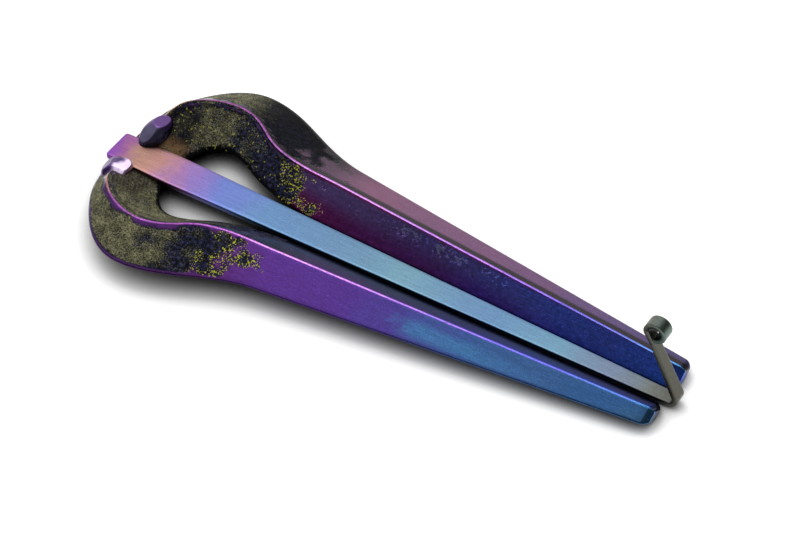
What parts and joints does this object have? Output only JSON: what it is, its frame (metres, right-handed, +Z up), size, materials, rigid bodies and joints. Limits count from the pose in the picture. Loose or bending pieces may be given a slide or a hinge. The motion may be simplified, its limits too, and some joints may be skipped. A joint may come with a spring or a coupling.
{
  "type": "jaw harp",
  "caption": "Forged steel jaw harp: a bow-shaped frame with tapering arms, and a clinched spring-steel reed with a bent-up trigger that is plucked to sound it.",
  "frame": {"origin": "centre of the harp's bounding box, on the table that its lower edge lies on", "axes": "+X from the bow to the trigger, +Y across the arms, +Z up, the way the trigger points"},
  "size_m": [0.0828, 0.0348, 0.013],
  "materials": {
    "frame_steel": "heat-tinted violet to blue on polished arms, dark forge scale on the bow",
    "reed_steel": "brushed lengthwise, heat-tinted from gold and violet at the root to blue and grey at the trigger"
  },
  "bodies": {
    "frame": {"frame": "frame_steel", "reed_root": "reed_steel"},
    "reed": {"reed_tongue": "reed_steel"}
  },
  "joints": [
    {"name": "reed_flex", "type": "hinge", "parent": "frame", "child": "reed", "pos_m": [-0.03555, 0, 0.00251], "axis": [0, -1, 0], "range_deg": [-5, 5], "stiffness_Nm_per_rad": 0.8}
  ]
}
